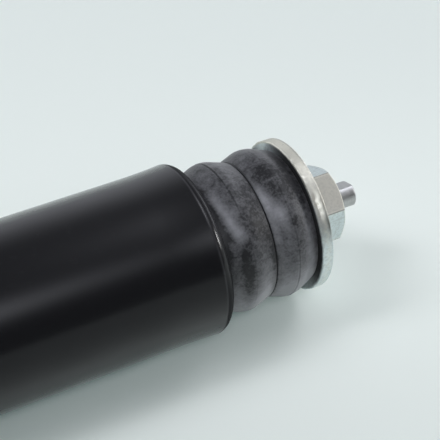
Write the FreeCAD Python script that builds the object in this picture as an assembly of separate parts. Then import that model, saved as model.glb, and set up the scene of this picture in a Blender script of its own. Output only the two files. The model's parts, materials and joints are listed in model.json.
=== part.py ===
import FreeCAD, Part
import math
import os

# Twin-tube shock absorber, lying along +X with its stem end at +X, half out of its travel.
# The origin is the centre of the lower eye's bore. Lengths are in millimetres, angles in degrees.

# Travel of the rod from the rest pose
travel_in = 60.0
travel_out = 40.0
end_gap = 0.3  # left at each end stop

# Clearances
press_gap = 0.02  # between parts pressed together
running_gap = 0.03  # radial, where one part slides in another
thread_gap = 0.05  # radial, between a thread and its hole
rubber_gap = 0.05  # radial, between rubber and what it sits on
loose_gap = 0.2  # radial, where a plate is guided loosely

# Edges
small_edge = 0.5  # chamfer on small turned parts
thread_lead = 0.8  # chamfer at the rod's threaded ends
rubber_edge = 0.8  # rounding of rubber edges that show
rubber_corner = 0.5  # rounding where a cushion meets what it sits on

# Nuts
nut_face_inset = 0.3  # end face inside the flats
lead_in = 0.5  # chamfer at each end of a thread or a hole for one

# Lower eye with its bush and sleeve, on the Y axis: as tall as the cover's rim, so that both lie on a table
bolt_hole_dia = 12.2
sleeve_wall = 3.4
sleeve_length = 34.0
bush_wall = 8.25
bush_length = 30.0
bush_lip_rise = 2.0
eye_wall = 5.7
eye_width = 26.0
eye_edge = 0.8
weld_root = 0.6  # weld metal between the eye and the base cap
weld_inset = 1.5  # weld's edge inside the eye's sides
weld_spread = 2.5  # how much wider it is at the cap
weld_leg = 4.5

# Tubes, from the inside out
bore_dia = 30.0
cylinder_wall = 1.3
annulus_gap = 2.7
reservoir_wall = 1.5
cover_gap = 1.3
cover_wall = 1.2

# Base cap
cap_wall = 2.5
cap_height = 7.0
cap_lip = 2.0
cap_skirt = 5.0
cap_ledge_depth = 2.5
cap_ledge_width = 1.4
cap_draft = 0.8  # taper of its inside
cap_shoulder = 0.5  # step from its side to its lip
cap_floor_margin = 1.5  # flat left round the weld
cap_outside_round = 3.0
cap_inside_round = 2.0
bead_width = 3.2
bead_height = 0.9

# Base valve
foot_flange = 5.0
foot_spigot = 6.0
foot_boss_height = 2.1
foot_boss_wall = 1.8
foot_slot_width = 5.0
foot_slot_depth = 3.1
foot_slot_count = 6
pin_dia = 6.0
pin_head_dia = 10.4
pin_head = 2.0
pin_nut_flats = 10.0
pin_nut_height = 3.0
pin_over = 0.5  # pin left standing out of its nut
intake_hole_count = 8
squeeze_hole_dia = 2.0  # holes that oil passes when the shock is pressed together
squeeze_disc_thickness = 0.4
squeeze_disc_count = 3
backing_thickness = 1.3

# Check plates and the finger springs that hold them down
plate_thickness = 0.6
plate_rim_gap = 1.0  # plate inside the wall beside it
finger_thickness = 0.3
finger_count = 6
finger_slot_width = 4.0
finger_bend = 0.3  # bend outside the boss
finger_tip = 0.6  # flat at the tip
finger_inset = 0.8  # tip inside the plate's rim
hole_wall = 0.6  # wall kept beside a ring of valve holes
hole_share = 0.6  # part of its land that a ring of outer holes takes

# Piston
piston_length = 14.0
piston_side_gap = 0.6
ring_width = 9.0
ring_thickness = 2.0
bypass_hole_count = 8
rebound_hole_dia = 2.0
rebound_disc_thickness = 0.3
rebound_disc_count = 4
stop_washer_land = 1.5  # radial, beyond the rod's piston end
stop_washer_thickness = 1.5
piston_nut_flats = 15.0
piston_nut_height = 8.0
rod_end_over = 1.5  # rod left standing out of the piston nut
closed_clearance = 1.5  # rod end to base valve with the shock closed

# Rod and its rebound stop
piston_shoulder = 2.0  # radial step down to the piston end
stud_shoulder = 1.0  # radial step down to the stud
collar_from_shoulder = 3.0
collar_height = 4.0
collar_dia = 21.0
rebound_cushion_height = 8.0

# Rod guide and seals
guide_spigot = 6.0
guide_flange = 10.0
guide_bush_wall = 1.5
guide_bush_length = 13.0
guide_mouth_gap = 1.0
o_ring_section = 2.0
seal_height = 7.0
seal_wall_gap = 2.5  # radial, behind the oil lip
seal_lip_length = 1.5
seal_lip_gap = 0.8  # radial, at the root of the oil lip
dust_lip_length = 1.2
dust_lip_gap = 0.6
garter_radius = 0.6
garter_lift = 2.0  # garter spring above the rod
seal_plate_thickness = 2.0
seal_plate_gap = 1.2  # radial, to the rod
roll_radius = 3.0
roll_lip = 6.5  # width of the flat rolled-in end of the reservoir

# Dust cover and its cup
cover_mouth_clear = 22.0  # mouth to the reservoir's lower end with the shock closed
rim_swell = 0.41
rim_swell_length = 11.5
shoulder_radius = 3.6
shoulder_start = 8.0
shoulder_end = 72.0
lip_rise = 1.6  # rolled lip above the cushion's seat
cup_wall = 2.5
cup_skirt = 8.0
support_washer_dia = 27.0
support_washer_thickness = 3.0

# Bump stop
bump_length = 22.0
bump_dia = 31.0
bump_waist_dia = 26.0
bump_round = 1.5
waist_round = 1.0

# Stem stack: cushions, washer and nut on the stud
stud_dia = 12.0
spacer_wall = 1.8
lower_cushion_height = 15.4
upper_cushion_height = 12.4
cushion_lip_gap = 2.1  # radial, cushion's end to the cover's lip
cushion_rise = 2.45  # crown above the cushion's ends, before it is rounded
crown_round = 6.0
lower_crown_height = 9.05
cushion_foot = 2.85  # plain part of the lower cushion, inside the cover's lip
groove_step = 0.3  # cushion's radius at the groove beyond that at its ends
cushion_spigot_wall = 3.6
cushion_spigot_height = 4.0
washer_dia = 42.0
washer_thickness = 3.2
washer_hole_gap = 0.25  # radial, to the stud
washer_edge = 0.4
nut_flats = 19.0
nut_height = 10.8
nut_turn = 35.0  # a corner of the nut, from +Y towards +Z
stud_over_nut = 0.6
tip_dia = 7.4
tip_length = 6.5
tip_flats = 5.6
tip_turn = 70.0  # the upper flat's normal, from +Y towards +Z
tip_edge = 0.5


def straight(start, end):
    return Part.LineSegment(start, end).toShape()


def at(station, radius):
    return FreeCAD.Vector(station, 0, radius)


def outline(corners):
    """Closed wire through (station, radius, rounding) corners in the XZ plane."""
    points = [at(c[0], c[1]) for c in corners]
    rounds = [c[2] if len(c) > 2 else 0.0 for c in corners]
    count = len(corners)
    starts, ends, arcs = [], [], []
    for i, point in enumerate(points):
        if rounds[i] == 0:
            starts.append(point)
            ends.append(point)
            arcs.append(None)
            continue
        back = (points[i - 1] - point).normalize()
        ahead = (points[(i + 1) % count] - point).normalize()
        half = back.getAngle(ahead) / 2
        inward = (back + ahead).normalize()
        reach = rounds[i] / math.tan(half)
        middle = point + inward * (rounds[i] / math.sin(half) - rounds[i])
        starts.append(point + back * reach)
        ends.append(point + ahead * reach)
        arcs.append(Part.Arc(starts[i], middle, ends[i]).toShape())
    edges = []
    for i in range(count):
        if arcs[i]:
            edges.append(arcs[i])
        following = starts[(i + 1) % count]
        if ends[i].distanceToPoint(following) > 1e-6:
            edges.append(straight(ends[i], following))
    return Part.Wire(edges)


def spun(wire):
    """Solid of a closed wire in the XZ plane turned about X."""
    solid = Part.Face(wire).revolve(FreeCAD.Vector(0, 0, 0), FreeCAD.Vector(1, 0, 0), 360)
    return solid if solid.Volume > 0 else solid.reversed()


def turned(corners):
    return spun(outline(corners))


def ring(x0, x1, outer, inner, edge=0.0):
    """Plain ring between two stations, with its outer edges chamfered."""
    if edge == 0:
        return turned([(x0, inner), (x0, outer), (x1, outer), (x1, inner)])
    corners = [(x0, inner), (x0, outer - edge), (x0 + edge, outer)]
    corners += [(x1 - edge, outer), (x1, outer - edge), (x1, inner)]
    return turned(corners)


def disc(x0, x1, radius):
    return Part.makeCylinder(radius, x1 - x0, FreeCAD.Vector(x0, 0, 0), FreeCAD.Vector(1, 0, 0))


def about_x(shape, angle):
    shape = shape.copy()
    shape.rotate(FreeCAD.Vector(0, 0, 0), FreeCAD.Vector(1, 0, 0), angle)
    return shape


def onto_y(shape):
    """Turns a shape made about X so that it lies about Y."""
    shape = shape.copy()
    shape.rotate(FreeCAD.Vector(0, 0, 0), FreeCAD.Vector(0, 0, 1), 90)
    return shape


def around(shape, count, first=0.0):
    """Copies of a shape, evenly spaced about X."""
    return [about_x(shape, first + 360.0 * i / count) for i in range(count)]


def drilled(shape, x0, x1, ring_radius, hole_dia, count, first=0.0):
    """Shape with a ring of holes along X."""
    start = FreeCAD.Vector(x0 - 1, ring_radius, 0)
    hole = Part.makeCylinder(hole_dia / 2, x1 - x0 + 2, start, FreeCAD.Vector(1, 0, 0))
    return shape.cut(Part.makeCompound(around(hole, count, first)))


def hex_nut(x0, height, flats, bore, turn=0.0):
    """Hexagon nut with both ends chamfered at 30 degrees and its thread as a plain hole."""
    x1 = x0 + height
    corner = flats / math.sqrt(3)
    angles = [math.radians(turn + 60 * i) for i in range(7)]
    points = [FreeCAD.Vector(x0, corner * math.cos(a), corner * math.sin(a)) for a in angles]
    prism = Part.Face(Part.makePolygon(points)).extrude(FreeCAD.Vector(height, 0, 0))
    face = flats / 2 - nut_face_inset
    outer = corner + loose_gap
    slope = (outer - face) * math.tan(math.radians(30))
    envelope = turned(
        [(x0, 0), (x0, face), (x0 + slope, outer), (x1 - slope, outer), (x1, face), (x1, 0)]
    )
    wall = bore + thread_gap
    mouth = wall + lead_in
    hole = turned(
        [(x0, 0), (x0, mouth), (x0 + lead_in, wall), (x1 - lead_in, wall), (x1, mouth), (x1, 0)]
    )
    return prism.common(envelope).cut(hole)


def finger_spring(x_seat, x_plate, clamp, boss, tip, hole):
    """Thin spring: a clamped ring lies on the boss, and its fingers slope down to the check plate."""
    top = x_seat + finger_thickness
    bend = boss + finger_bend
    corners = [(x_seat, hole), (x_seat, bend), (x_plate, tip - finger_tip), (x_plate, tip)]
    corners += [(x_plate + finger_thickness, tip), (top, bend + finger_thickness / 2), (top, hole)]
    spring = turned(corners)
    slot = Part.makeBox(
        x_seat - x_plate + 4,
        finger_slot_width,
        tip,
        FreeCAD.Vector(x_plate - 2, -finger_slot_width / 2, clamp),
    )
    return spring.cut(Part.makeCompound(around(slot, finger_count)))


# Radii of the tubes, from the bore outwards
bore = bore_dia / 2
cylinder_outer = bore + cylinder_wall
reservoir_inner = cylinder_outer + annulus_gap
reservoir_outer = reservoir_inner + reservoir_wall
cover_inner = reservoir_outer + cover_gap
cover_outer = cover_inner + cover_wall
stud = stud_dia / 2
rod = stud + stud_shoulder
rod_end = rod - piston_shoulder
pin = pin_dia / 2
pin_head_radius = pin_head_dia / 2
stop_washer = rod_end + stop_washer_land

# Radii at the lower eye, from the bolt outwards
sleeve_inner = bolt_hole_dia / 2
sleeve_outer = sleeve_inner + sleeve_wall
bush_outer = sleeve_outer + bush_wall
eye_outer = bush_outer + eye_wall

# Stations of the fixed parts, from the eye towards the stem
x_cap = eye_outer + weld_root
x_lip = x_cap + cap_height
x_tube = x_lip + cap_lip
x_skirt = x_tube + cap_skirt
x_ledge = x_skirt - cap_ledge_depth
x_cylinder = x_ledge + foot_flange
x_foot = x_cylinder + foot_spigot
x_foot_boss = x_foot + foot_boss_height
x_pin_head = x_foot_boss + finger_thickness
x_pin_top = x_pin_head + pin_head
x_squeeze = x_ledge - squeeze_disc_count * squeeze_disc_thickness
x_squeeze_backing = x_squeeze - backing_thickness
x_pin_nut = x_squeeze_backing - pin_nut_height

# Stations of the piston, in the rest pose
rebound_stack = rebound_disc_count * rebound_disc_thickness
x_rod_end = x_pin_top + closed_clearance + travel_in
x_piston_nut = x_rod_end + rod_end_over
x_rebound_backing = x_piston_nut + piston_nut_height
x_rebound = x_rebound_backing + backing_thickness
x_piston = x_rebound + rebound_stack
x_piston_top = x_piston + piston_length
x_piston_boss = x_piston_top + foot_boss_height
x_stop_washer = x_piston_boss + finger_thickness
x_shoulder = x_stop_washer + stop_washer_thickness
x_collar = x_shoulder + collar_from_shoulder
x_rebound_cushion = x_collar + collar_height
x_rebound_cushion_top = x_rebound_cushion + rebound_cushion_height

# Stations of the guide, the seals and the reservoir's rolled end
x_guide = x_rebound_cushion_top + travel_out + end_gap
x_cylinder_top = x_guide + guide_spigot
x_seal = x_cylinder_top + guide_flange
x_seal_plate = x_seal + seal_height
x_roll = x_seal_plate + seal_plate_thickness
x_reservoir_top = x_roll + reservoir_wall

# Stations of the stem stack, in the rest pose
x_bump = x_reservoir_top + end_gap + travel_in
x_support = x_bump + bump_length
x_cup = x_support + support_washer_thickness
x_seat = x_cup + cup_wall
x_upper_cushion = x_seat + lower_cushion_height
x_washer = x_upper_cushion + upper_cushion_height
x_nut = x_washer + washer_thickness
x_stud_end = x_nut + nut_height + stud_over_nut
x_tip = x_stud_end + tip_length
x_mouth = x_tube + cover_mouth_clear + travel_in

nodes = {}

# Lower eye, bush and sleeve
half_eye = eye_width / 2
half_bush = bush_length / 2
half_sleeve = sleeve_length / 2
nodes["lower_eye"] = onto_y(ring(-half_eye, half_eye, eye_outer, bush_outer, eye_edge))
bush_inner = sleeve_outer + rubber_gap
bush_lip = bush_outer + bush_lip_rise
bush_corners = [(-half_bush, bush_inner), (-half_bush, bush_lip, rubber_edge), (-half_eye, bush_lip)]
bush_corners += [(-half_eye, bush_outer), (half_eye, bush_outer), (half_eye, bush_lip)]
bush_corners += [(half_bush, bush_lip, rubber_edge), (half_bush, bush_inner)]
nodes["eye_bush"] = onto_y(turned(bush_corners))
nodes["eye_sleeve"] = onto_y(ring(-half_sleeve, half_sleeve, sleeve_outer, sleeve_inner, small_edge))

# Weld between the eye and the base cap: a cone of metal, hollowed by the eye
weld_small = half_eye - weld_inset
weld_large = weld_small + weld_spread
weld_cone = Part.makeCone(
    weld_small, weld_large, weld_leg,
    FreeCAD.Vector(x_cap - weld_leg, 0, 0), FreeCAD.Vector(1, 0, 0),
)
nodes["eye_weld"] = weld_cone.cut(onto_y(disc(-eye_width, eye_width, eye_outer)))

# Base cap: a pressed cup whose lip closes the reservoir tube
skirt_outer = reservoir_inner - press_gap
skirt_inner = skirt_outer - cap_wall
ledge_inner = skirt_inner - cap_ledge_width
floor_edge = weld_large + cap_floor_margin
inside_edge = floor_edge - cap_wall - cap_draft
cap_corners = [(x_cap, 0), (x_cap, floor_edge, cap_outside_round), (x_lip, reservoir_inner - cap_shoulder)]
cap_corners += [(x_lip, reservoir_outer), (x_tube, reservoir_outer), (x_tube, skirt_outer)]
cap_corners += [(x_skirt, skirt_outer), (x_skirt, skirt_inner), (x_ledge, skirt_inner)]
cap_corners += [(x_ledge, ledge_inner), (x_lip, ledge_inner - cap_draft)]
cap_corners += [(x_cap + cap_wall, inside_edge, cap_inside_round), (x_cap + cap_wall, 0)]
nodes["base_cap"] = turned(cap_corners)

# Weld bead round the joint of the cap and the reservoir tube
bead_start = at(x_tube - bead_width / 2, reservoir_outer)
bead_crest = at(x_tube, reservoir_outer + bead_height)
bead_end = at(x_tube + bead_width / 2, reservoir_outer)
bead_arc = Part.Arc(bead_start, bead_crest, bead_end).toShape()
nodes["base_weld"] = spun(Part.Wire([bead_arc, straight(bead_end, bead_start)]))

# Reservoir tube, its stem end rolled in over the seal plate
roll_inner = reservoir_outer - roll_lip
nodes["reservoir_tube"] = turned(
    [
        (x_tube, reservoir_inner),
        (x_tube, reservoir_outer),
        (x_reservoir_top, reservoir_outer, roll_radius),
        (x_reservoir_top, roll_inner),
        (x_roll, roll_inner),
        (x_roll, reservoir_inner, roll_radius - reservoir_wall),
    ]
)
nodes["working_cylinder"] = ring(x_cylinder, x_cylinder_top, cylinder_outer, bore)

# Base valve
foot_flange_radius = skirt_inner - press_gap
spigot = bore - press_gap
squeeze_ring = pin_head_radius + squeeze_hole_dia / 2 + loose_gap
foot_boss = squeeze_ring + squeeze_hole_dia / 2 + foot_boss_wall
foot = turned(
    [
        (x_ledge, pin + press_gap),
        (x_ledge, foot_flange_radius),
        (x_cylinder, foot_flange_radius),
        (x_cylinder, spigot),
        (x_foot, spigot),
        (x_foot, foot_boss),
        (x_foot_boss, foot_boss),
        (x_foot_boss, pin + press_gap),
    ]
)
foot_slot = Part.makeBox(
    foot_flange, foot_slot_width, foot_slot_depth + 1,
    FreeCAD.Vector(x_ledge, -foot_slot_width / 2, foot_flange_radius - foot_slot_depth),
)
foot = foot.cut(Part.makeCompound(around(foot_slot, foot_slot_count)))
intake_room = foot_flange_radius - foot_slot_depth - foot_boss
intake_ring = foot_boss + intake_room / 2
intake_hole_dia = intake_room * hole_share
foot = drilled(foot, x_ledge, x_foot, intake_ring, intake_hole_dia, intake_hole_count)
foot = drilled(foot, x_ledge, x_foot_boss, squeeze_ring, squeeze_hole_dia, finger_count, 90)
nodes["base_valve_body"] = foot
pin_shank = disc(x_pin_nut - pin_over, x_pin_head, pin)
pin_head_disc = ring(x_pin_head, x_pin_top, pin_head_radius, 0, small_edge)
nodes["base_valve_pin"] = pin_shank.fuse(pin_head_disc).removeSplitter()
nodes["base_valve_nut"] = hex_nut(x_pin_nut, pin_nut_height, pin_nut_flats, pin)
nodes["compression_discs"] = Part.makeCompound(
    [
        ring(
            x_squeeze + i * squeeze_disc_thickness,
            x_squeeze + (i + 1) * squeeze_disc_thickness,
            squeeze_ring + squeeze_hole_dia / 2 + hole_wall,
            pin + press_gap,
        )
        for i in range(squeeze_disc_count)
    ]
)
nodes["compression_backing_washer"] = ring(x_squeeze_backing, x_squeeze, pin_nut_flats / 2, pin + press_gap)
intake_outer = bore - plate_rim_gap
nodes["intake_plate"] = ring(x_foot, x_foot + plate_thickness, intake_outer, foot_boss + loose_gap)
nodes["intake_spring"] = finger_spring(
    x_foot_boss, x_foot + plate_thickness, pin_head_radius, foot_boss, intake_outer - finger_inset,
    pin + press_gap,
)

# Piston, its ring and its valves
piston_outer = bore - piston_side_gap
groove = bore - press_gap - ring_thickness - rubber_gap
x_groove = x_piston + (piston_length - ring_width) / 2
rebound_ring = stop_washer + rebound_hole_dia / 2 + loose_gap
piston_boss = rebound_ring + rebound_hole_dia / 2 + hole_wall
piston = turned(
    [
        (x_piston, rod_end + thread_gap),
        (x_piston, piston_outer),
        (x_groove, piston_outer),
        (x_groove, groove),
        (x_groove + ring_width, groove),
        (x_groove + ring_width, piston_outer),
        (x_piston_top, piston_outer),
        (x_piston_top, piston_boss),
        (x_piston_boss, piston_boss),
        (x_piston_boss, rod_end + thread_gap),
    ]
)
bypass_ring = (piston_boss + groove) / 2
bypass_hole_dia = (groove - piston_boss) * hole_share
piston = drilled(piston, x_piston, x_piston_top, bypass_ring, bypass_hole_dia, bypass_hole_count)
piston = drilled(piston, x_piston, x_piston_boss, rebound_ring, rebound_hole_dia, finger_count, 90)
nodes["piston"] = piston
nodes["piston_ring"] = ring(
    x_groove + rubber_gap, x_groove + ring_width - rubber_gap, bore - press_gap, groove + rubber_gap
)
nodes["rebound_discs"] = Part.makeCompound(
    [
        ring(
            x_rebound + i * rebound_disc_thickness,
            x_rebound + (i + 1) * rebound_disc_thickness,
            piston_boss,
            rod_end + thread_gap,
        )
        for i in range(rebound_disc_count)
    ]
)
nodes["rebound_backing_washer"] = ring(
    x_rebound_backing, x_rebound, piston_nut_flats / 2, rod_end + thread_gap
)
nodes["piston_nut"] = hex_nut(x_piston_nut, piston_nut_height, piston_nut_flats, rod_end)
bypass_outer = piston_outer - plate_rim_gap
nodes["bypass_plate"] = ring(
    x_piston_top, x_piston_top + plate_thickness, bypass_outer, piston_boss + loose_gap
)
nodes["bypass_spring"] = finger_spring(
    x_piston_boss, x_piston_top + plate_thickness, stop_washer, piston_boss,
    bypass_outer - finger_inset, rod_end + thread_gap,
)
nodes["bypass_stop_washer"] = ring(
    x_stop_washer, x_shoulder, stop_washer, rod_end + thread_gap
)

# Rod with its piston end, stud and holding tip, and its rebound stop
tip = tip_dia / 2
rod_corners = [(x_rod_end, 0), (x_rod_end, rod_end - thread_lead), (x_rod_end + thread_lead, rod_end)]
rod_corners += [(x_shoulder, rod_end), (x_shoulder, rod), (x_support, rod), (x_support, stud)]
rod_corners += [(x_stud_end - thread_lead, stud), (x_stud_end, stud - thread_lead), (x_stud_end, tip)]
rod_corners += [(x_tip - tip_edge, tip), (x_tip, tip - tip_edge), (x_tip, 0)]
flat_cut = Part.makeBox(
    tip_length, tip_dia, tip_dia, FreeCAD.Vector(x_stud_end, -tip, tip_flats / 2)
)
tip_cuts = Part.makeCompound(around(flat_cut, 2, tip_turn - 90))
nodes["piston_rod"] = turned(rod_corners).cut(tip_cuts)
nodes["rebound_stop_collar"] = ring(x_collar, x_rebound_cushion, collar_dia / 2, rod + press_gap, small_edge)
nodes["rebound_cushion"] = ring(
    x_rebound_cushion, x_rebound_cushion_top, collar_dia / 2, rod + rubber_gap, rubber_edge
)

# Rod guide, its bush and the seals
guide_outer = reservoir_inner - press_gap
bush_hole = rod + running_gap + guide_bush_wall
x_guide_bush = x_seal - guide_bush_length
o_ring_radius = o_ring_section / 2
o_ring_seat = guide_outer - o_ring_section
nodes["rod_guide"] = turned(
    [
        (x_guide, rod + guide_mouth_gap),
        (x_guide, spigot),
        (x_cylinder_top, spigot),
        (x_cylinder_top, guide_outer),
        (x_seal - o_ring_section, guide_outer),
        (x_seal - o_ring_section, o_ring_seat),
        (x_seal, o_ring_seat),
        (x_seal, bush_hole),
        (x_guide_bush, bush_hole),
        (x_guide_bush, rod + guide_mouth_gap),
    ]
)
nodes["guide_bush"] = ring(x_guide_bush, x_seal, bush_hole - press_gap, rod + running_gap)
nodes["guide_o_ring"] = Part.makeTorus(
    o_ring_seat + o_ring_radius, o_ring_radius - press_gap,
    FreeCAD.Vector(x_seal - o_ring_radius, 0, 0), FreeCAD.Vector(1, 0, 0),
)
garter_seat = rod + garter_lift
x_garter = x_seal + seal_height / 2
seal = turned(
    [
        (x_seal, rod + seal_wall_gap),
        (x_seal, guide_outer),
        (x_seal_plate, guide_outer),
        (x_seal_plate, rod + dust_lip_gap),
        (x_garter + dust_lip_length, rod + dust_lip_gap),
        (x_garter, rod + running_gap),
        (x_garter - seal_lip_length, rod + seal_lip_gap),
        (x_garter - seal_lip_length, rod + seal_wall_gap),
    ]
)
garter_room = Part.makeTorus(
    garter_seat, garter_radius + press_gap, FreeCAD.Vector(x_garter, 0, 0), FreeCAD.Vector(1, 0, 0)
)
nodes["oil_seal"] = seal.cut(garter_room)
nodes["seal_garter_spring"] = Part.makeTorus(
    garter_seat, garter_radius, FreeCAD.Vector(x_garter, 0, 0), FreeCAD.Vector(1, 0, 0)
)
seal_plate_hole = rod + seal_plate_gap
nodes["seal_plate"] = turned(
    [
        (x_seal_plate, seal_plate_hole),
        (x_seal_plate, guide_outer),
        (x_roll, guide_outer, roll_radius - reservoir_wall),
        (x_roll, seal_plate_hole),
    ]
)

# Dust cover: the wall swells a little at the rim, meets the shoulder in a crease and rolls in to a lip
x_crease = x_seat + lip_rise - shoulder_radius * (
    math.sin(math.radians(shoulder_end)) - math.sin(math.radians(shoulder_start))
)
crease = cover_outer + rim_swell
shoulder_x = x_crease - shoulder_radius * math.sin(math.radians(shoulder_start))
shoulder_r = crease - shoulder_radius * math.cos(math.radians(shoulder_start))


def on_shoulder(radius, angle):
    """Point of the rolled shoulder, at an angle from the radial direction towards the stem."""
    turn = math.radians(angle)
    return at(shoulder_x + radius * math.sin(turn), shoulder_r + radius * math.cos(turn))


def shoulder_arc(radius, first, last):
    middle = on_shoulder(radius, (first + last) / 2)
    return Part.Arc(on_shoulder(radius, first), middle, on_shoulder(radius, last)).toShape()


def swell_arc(wall, end):
    """Arc that leaves a straight wall smoothly and reaches the rim's larger radius."""
    middle = at((x_swell + end.x) / 2, wall + (end.z - wall) / 4)
    return Part.Arc(at(x_swell, wall), middle, end).toShape()


x_swell = x_crease - rim_swell_length
inside_radius = shoulder_radius - cover_wall
outer_crease = on_shoulder(shoulder_radius, shoulder_start)
inner_crease = on_shoulder(inside_radius, shoulder_start)
cover_edges = [
    straight(at(x_mouth, cover_inner), at(x_mouth, cover_outer)),
    straight(at(x_mouth, cover_outer), at(x_swell, cover_outer)),
    swell_arc(cover_outer, outer_crease),
    shoulder_arc(shoulder_radius, shoulder_start, shoulder_end),
    straight(on_shoulder(shoulder_radius, shoulder_end), on_shoulder(inside_radius, shoulder_end)),
    shoulder_arc(inside_radius, shoulder_end, shoulder_start),
    swell_arc(cover_inner, inner_crease),
    straight(at(x_swell, cover_inner), at(x_mouth, cover_inner)),
]
nodes["dust_cover"] = spun(Part.Wire(cover_edges))

# Cup pressed into the cover under the rolled lip
cup_outer = cover_inner - press_gap
under_lip = inside_radius - rubber_gap
cup_flat = math.degrees(math.asin((x_seat - shoulder_x) / under_lip))
cup_side = math.degrees(math.acos((cup_outer - shoulder_r) / under_lip))
flat_edge = on_shoulder(under_lip, cup_flat)
side_edge = on_shoulder(under_lip, cup_side)
x_cup_end = x_cup - cup_skirt
cup_hole = stud + thread_gap
cup_points = [
    side_edge,
    at(x_cup_end, cup_outer),
    at(x_cup_end, cup_outer - cup_wall),
    at(x_cup, cup_outer - cup_wall),
    at(x_cup, cup_hole),
    at(x_seat, cup_hole),
    flat_edge,
]
cup_edges = [shoulder_arc(under_lip, cup_flat, cup_side)]
cup_edges += [straight(*pair) for pair in zip(cup_points, cup_points[1:])]
nodes["cover_cup"] = spun(Part.Wire(cup_edges))
nodes["support_washer"] = ring(x_support, x_cup, support_washer_dia / 2, stud + thread_gap, small_edge)

# Bump stop with two waists
bump = bump_dia / 2
waist = bump_waist_dia / 2
bump_corners = [(x_bump, rod + rubber_gap), (x_bump, waist, bump_round)]
for i in (1, 3):
    bump_corners.append((x_bump + bump_length * i / 5, bump, bump_round))
    bump_corners.append((x_bump + bump_length * (i + 1) / 5, waist, waist_round))
bump_corners += [(x_support, bump, rubber_edge), (x_support, rod + rubber_gap)]
nodes["bump_stop"] = turned(bump_corners)

# Cushions: barrels with a rounded crown, joined by a spigot in a recess
spacer_outer = stud + thread_gap + spacer_wall
cushion_hole = spacer_outer + rubber_gap
cushion_end = on_shoulder(inside_radius, shoulder_end).z - cushion_lip_gap
cushion_crown = cushion_end + cushion_rise
cushion_groove = cushion_end + groove_step
spigot_radius = spacer_outer + cushion_spigot_wall
x_spigot = x_upper_cushion + cushion_spigot_height
nodes["spacer_sleeve"] = ring(x_seat, x_washer, spacer_outer, stud + thread_gap)
nodes["lower_cushion"] = turned(
    [
        (x_seat, cushion_hole),
        (x_seat, cushion_end, rubber_corner),
        (x_seat + cushion_foot, cushion_end, crown_round),
        (x_seat + lower_crown_height, cushion_crown, crown_round),
        (x_upper_cushion, cushion_groove, rubber_corner),
        (x_upper_cushion, spigot_radius),
        (x_spigot, spigot_radius),
        (x_spigot, cushion_hole),
    ]
)
nodes["upper_cushion"] = turned(
    [
        (x_spigot + loose_gap, cushion_hole),
        (x_spigot + loose_gap, spigot_radius + loose_gap),
        (x_upper_cushion, spigot_radius + loose_gap),
        (x_upper_cushion, cushion_groove, rubber_corner),
        (x_upper_cushion + upper_cushion_height / 2, cushion_crown, crown_round),
        (x_washer, cushion_end, rubber_corner),
        (x_washer, cushion_hole),
    ]
)

# Washer and nut that clamp the stack
nodes["top_washer"] = ring(x_washer, x_nut, washer_dia / 2, stud + washer_hole_gap, washer_edge)
nodes["top_nut"] = hex_nut(x_nut, nut_height, nut_flats, stud, nut_turn)

os.makedirs("parts", exist_ok=True)
for name, shape in nodes.items():
    shape.exportStep("parts/" + name + ".step")
    print(name, len(shape.Solids), round(shape.Volume, 1), "valid" if shape.isValid() else "NOT VALID")
print("seat", round(x_seat, 3), "mouth", round(x_mouth, 3), "tip", round(x_tip, 3))
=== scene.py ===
import json
import bmesh
import bpy
import numpy as np
from mathutils import Matrix, Vector


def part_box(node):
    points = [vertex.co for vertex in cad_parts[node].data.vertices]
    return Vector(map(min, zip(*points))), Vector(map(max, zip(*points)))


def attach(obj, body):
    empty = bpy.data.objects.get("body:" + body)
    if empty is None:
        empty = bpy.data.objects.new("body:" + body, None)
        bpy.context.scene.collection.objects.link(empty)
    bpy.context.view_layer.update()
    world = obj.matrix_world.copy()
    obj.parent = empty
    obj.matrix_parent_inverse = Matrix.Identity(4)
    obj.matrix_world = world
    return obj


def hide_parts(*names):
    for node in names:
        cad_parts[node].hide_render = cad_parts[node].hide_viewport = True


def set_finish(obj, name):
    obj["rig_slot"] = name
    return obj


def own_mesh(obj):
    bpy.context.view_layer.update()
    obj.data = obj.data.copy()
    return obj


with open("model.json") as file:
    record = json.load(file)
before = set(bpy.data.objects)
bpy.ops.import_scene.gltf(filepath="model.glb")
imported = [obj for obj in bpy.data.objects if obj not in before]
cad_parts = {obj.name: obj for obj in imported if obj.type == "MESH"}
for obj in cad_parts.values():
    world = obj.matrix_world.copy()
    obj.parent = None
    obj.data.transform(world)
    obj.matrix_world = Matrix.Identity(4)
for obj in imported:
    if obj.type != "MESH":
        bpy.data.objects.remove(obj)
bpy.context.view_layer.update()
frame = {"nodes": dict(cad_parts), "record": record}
nodes = frame["nodes"]
mm = 0.001
mergeDistance = 1e-7  # metres, wider than a coordinate's own rounding
scene = bpy.context.scene
scene.view_settings.view_transform = "Standard"
print("frame loaded with", len(nodes), "nodes")


def station(node, end):
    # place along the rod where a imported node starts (0) or ends (1), in millimetres
    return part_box(node)[end].x / mm


def outerRadius(node):
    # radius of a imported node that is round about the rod, in millimetres
    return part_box(node)[1].z / mm


def addObject(name, data):
    # object at the origin, unturned
    made = bpy.data.objects.new(name, data)
    scene.collection.objects.link(made)
    return made


seat = station("lower_cushion", 0)
parting = station("upper_cushion", 0)
washerFace = station("top_washer", 0)
nutFace = station("top_nut", 0)
stemTip = station("piston_rod", 1)
rodFoot = station("piston_rod", 0)
tableZ = min(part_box("dust_cover")[0].z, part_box("lower_eye")[0].z)


# Camera: beside the cover and above the table, looking down across the stem
view = dict(
    turn=27.64, drop=41.57,  # degrees from straight across the rod, and below level
    focal=1250.0, frameSize=440.0, aimPixel=(194.7, 247.02),  # pixels of the photo
    sensor=36.0, nearest=10.0, aimBehindParting=14.25, aimDepth=327.9)  # millimetres


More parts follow.
